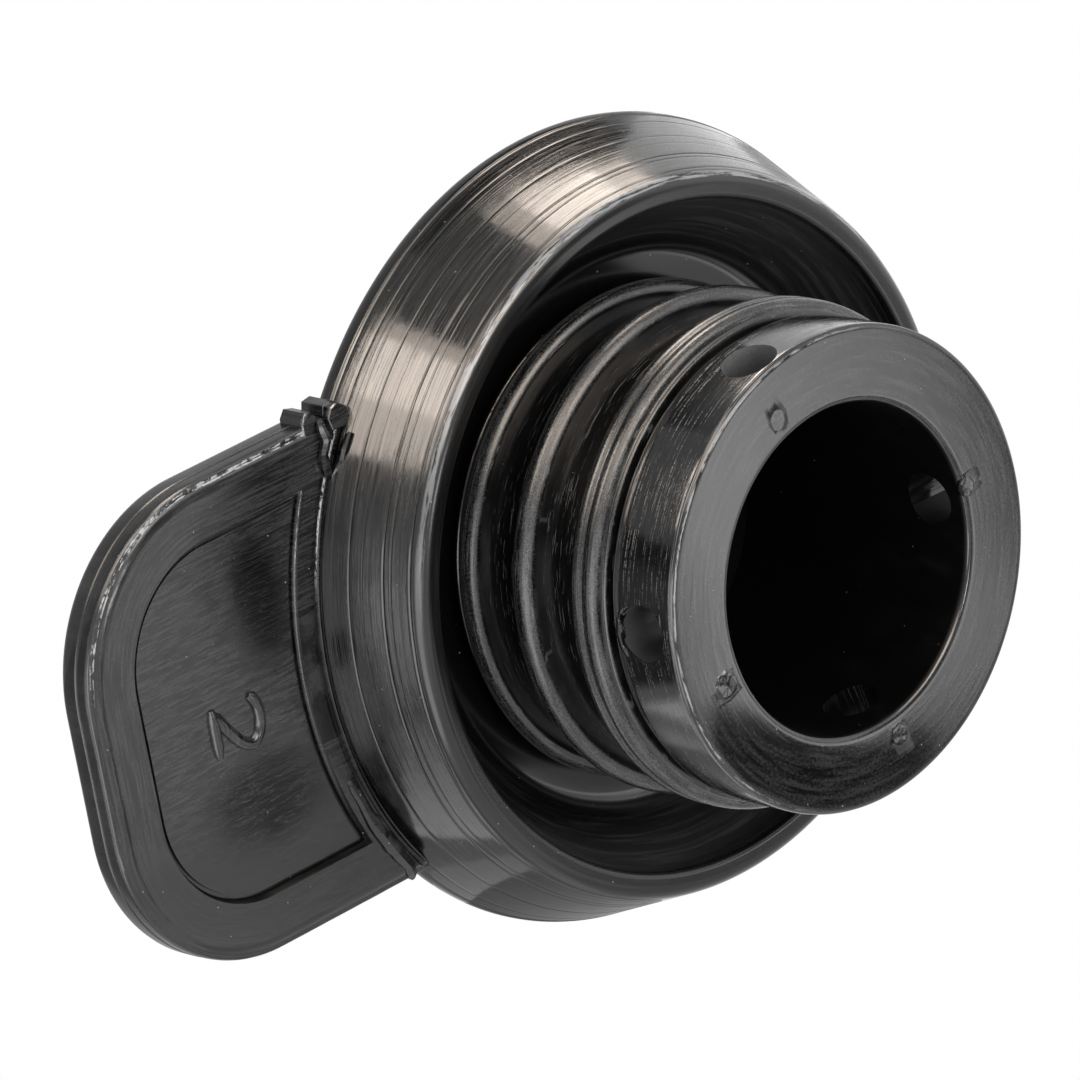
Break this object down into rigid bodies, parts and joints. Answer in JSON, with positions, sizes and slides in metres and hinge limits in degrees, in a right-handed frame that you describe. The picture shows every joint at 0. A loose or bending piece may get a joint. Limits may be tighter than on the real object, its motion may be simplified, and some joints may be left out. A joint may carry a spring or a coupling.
{
  "type": "oil filler cap",
  "caption": "Push-in rubber filler cap: round head with a flared skirt, hollow ribbed plug with cross ports, and a flat grip tab with a sunk panel.",
  "frame": {"origin": "centre of the head's flat back face, on the plug's axis", "axes": "+Z along the plug's axis, out of its open end; +X towards the end of the grip tab; +Y completes a right-handed frame"},
  "size_m": [0.0685, 0.0506, 0.0228],
  "materials": {
    "black_rubber": "satin black, lightly worn"
  },
  "bodies": {
    "root": {"oil_filler_cap": "black_rubber"}
  },
  "joints": []
}
